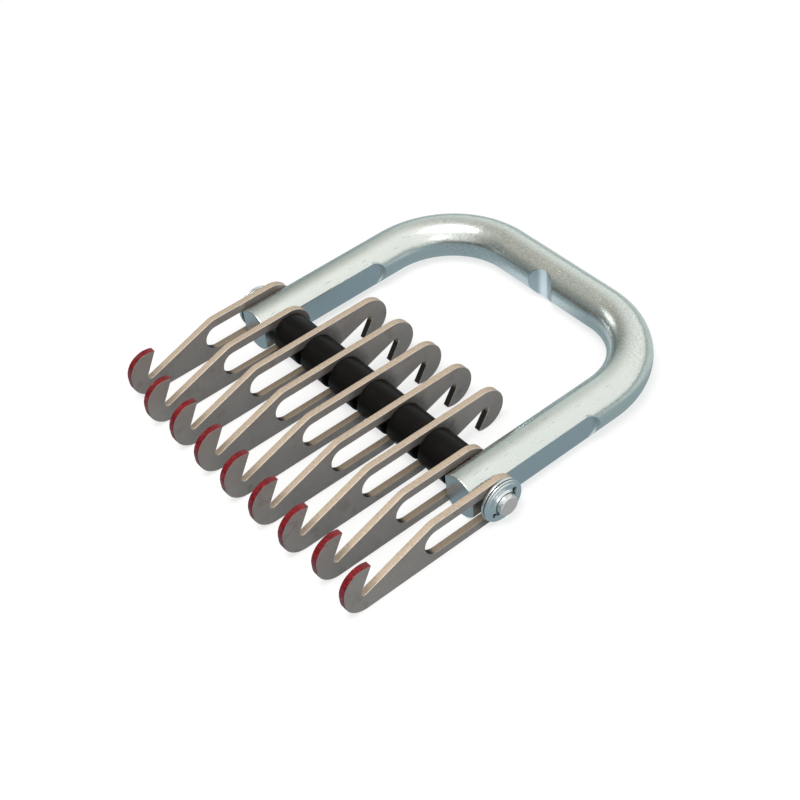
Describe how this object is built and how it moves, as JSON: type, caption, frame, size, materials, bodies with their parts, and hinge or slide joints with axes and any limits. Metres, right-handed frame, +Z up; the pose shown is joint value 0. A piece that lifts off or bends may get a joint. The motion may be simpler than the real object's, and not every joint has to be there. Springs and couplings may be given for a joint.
{
  "type": "frame grip",
  "caption": "Beekeeper's frame grip: a U-shaped round-bar handle with a cross shaft that carries a row of slotted double-ended hook plates parted by spacer tubes.",
  "frame": {"origin": "middle of the cross shaft, midway between the handle's legs", "axes": "+X along the shaft to the right leg, +Y from the front hooks to the cross bar of the handle, +Z up when the grip lies flat"},
  "size_m": [0.1756, 0.1961, 0.0223],
  "materials": {
    "zinc_plated_bar": "bright zinc plating, satin, with fine speckle on the bends",
    "zinc_plated_small_parts": "bright zinc plating",
    "bare_plate_steel": "rolled sheet faces with laser-cut edges; front hooks' outer edges painted dark red",
    "black_tube": "satin black"
  },
  "bodies": {
    "handle": {"handle_bar": "zinc_plated_bar"},
    "left_washer_ring": {"washer_left": "zinc_plated_small_parts"},
    "spacer_ring_1": {"spacer_1": "black_tube"},
    "spacer_ring_2": {"spacer_2": "black_tube"},
    "spacer_ring_3": {"spacer_3": "black_tube"},
    "shaft_set": {"shaft": "zinc_plated_small_parts", "retaining_cap_left": "zinc_plated_small_parts", "retaining_cap_right": "zinc_plated_small_parts"},
    "spacer_ring_4": {"spacer_4": "black_tube"},
    "spacer_ring_5": {"spacer_5": "black_tube"},
    "spacer_ring_6": {"spacer_6": "black_tube"},
    "right_washer_ring": {"washer_right": "zinc_plated_small_parts"},
    "plate_1": {"hook_plate_1": "bare_plate_steel"},
    "plate_2": {"hook_plate_2": "bare_plate_steel"},
    "plate_3": {"hook_plate_3": "bare_plate_steel"},
    "plate_4": {"hook_plate_4": "bare_plate_steel"},
    "plate_5": {"hook_plate_5": "bare_plate_steel"},
    "plate_6": {"hook_plate_6": "bare_plate_steel"},
    "plate_7": {"hook_plate_7": "bare_plate_steel"},
    "plate_8": {"hook_plate_8": "bare_plate_steel"},
    "plate_9": {"hook_plate_9": "bare_plate_steel"}
  },
  "joints": [
    {"name": "plate_1_swing", "type": "hinge", "parent": "handle", "child": "left_washer_ring", "pos_m": [-0.08, 0, 0], "axis": [1, 0, 0], "range_deg": [-160, 160]},
    {"name": "plate_2_swing", "type": "hinge", "parent": "handle", "child": "spacer_ring_1", "pos_m": [-0.06, 0, 0], "axis": [1, 0, 0], "range_deg": [-160, 160]},
    {"name": "plate_3_swing", "type": "hinge", "parent": "handle", "child": "spacer_ring_2", "pos_m": [-0.04, 0, 0], "axis": [1, 0, 0], "continuous": true},
    {"name": "plate_4_swing", "type": "hinge", "parent": "handle", "child": "spacer_ring_3", "pos_m": [-0.02, 0, 0], "axis": [1, 0, 0], "continuous": true},
    {"name": "plate_5_swing", "type": "hinge", "parent": "handle", "child": "shaft_set", "pos_m": [0, 0, 0], "axis": [1, 0, 0], "continuous": true},
    {"name": "plate_6_swing", "type": "hinge", "parent": "handle", "child": "spacer_ring_4", "pos_m": [0.02, 0, 0], "axis": [1, 0, 0], "continuous": true},
    {"name": "plate_7_swing", "type": "hinge", "parent": "handle", "child": "spacer_ring_5", "pos_m": [0.04, 0, 0], "axis": [1, 0, 0], "continuous": true},
    {"name": "plate_8_swing", "type": "hinge", "parent": "handle", "child": "spacer_ring_6", "pos_m": [0.06, 0, 0], "axis": [1, 0, 0], "range_deg": [-160, 160]},
    {"name": "plate_9_swing", "type": "hinge", "parent": "handle", "child": "right_washer_ring", "pos_m": [0.08, 0, 0], "axis": [1, 0, 0], "range_deg": [-160, 160]},
    {"name": "plate_1_slide", "type": "slide", "parent": "left_washer_ring", "child": "plate_1", "axis": [0, 1, 0], "range_m": [-0.00655, 0.02645]},
    {"name": "plate_2_slide", "type": "slide", "parent": "spacer_ring_1", "child": "plate_2", "axis": [0, 1, 0], "range_m": [-0.00235, 0.03065]},
    {"name": "plate_3_slide", "type": "slide", "parent": "spacer_ring_2", "child": "plate_3", "axis": [0, 1, 0], "range_m": [-0.00245, 0.03055]},
    {"name": "plate_4_slide", "type": "slide", "parent": "spacer_ring_3", "child": "plate_4", "axis": [0, 1, 0], "range_m": [-0.00155, 0.03145]},
    {"name": "plate_5_slide", "type": "slide", "parent": "shaft_set", "child": "plate_5", "axis": [0, 1, 0], "range_m": [-0.00095, 0.03205]},
    {"name": "plate_6_slide", "type": "slide", "parent": "spacer_ring_4", "child": "plate_6", "axis": [0, 1, 0], "range_m": [-0.00075, 0.03225]},
    {"name": "plate_7_slide", "type": "slide", "parent": "spacer_ring_5", "child": "plate_7", "axis": [0, 1, 0], "range_m": [-0.00085, 0.03215]},
    {"name": "plate_8_slide", "type": "slide", "parent": "spacer_ring_6", "child": "plate_8", "axis": [0, 1, 0], "range_m": [-0.00215, 0.03085]},
    {"name": "plate_9_slide", "type": "slide", "parent": "right_washer_ring", "child": "plate_9", "axis": [0, 1, 0], "range_m": [-0.00005, 0.03295]}
  ]
}
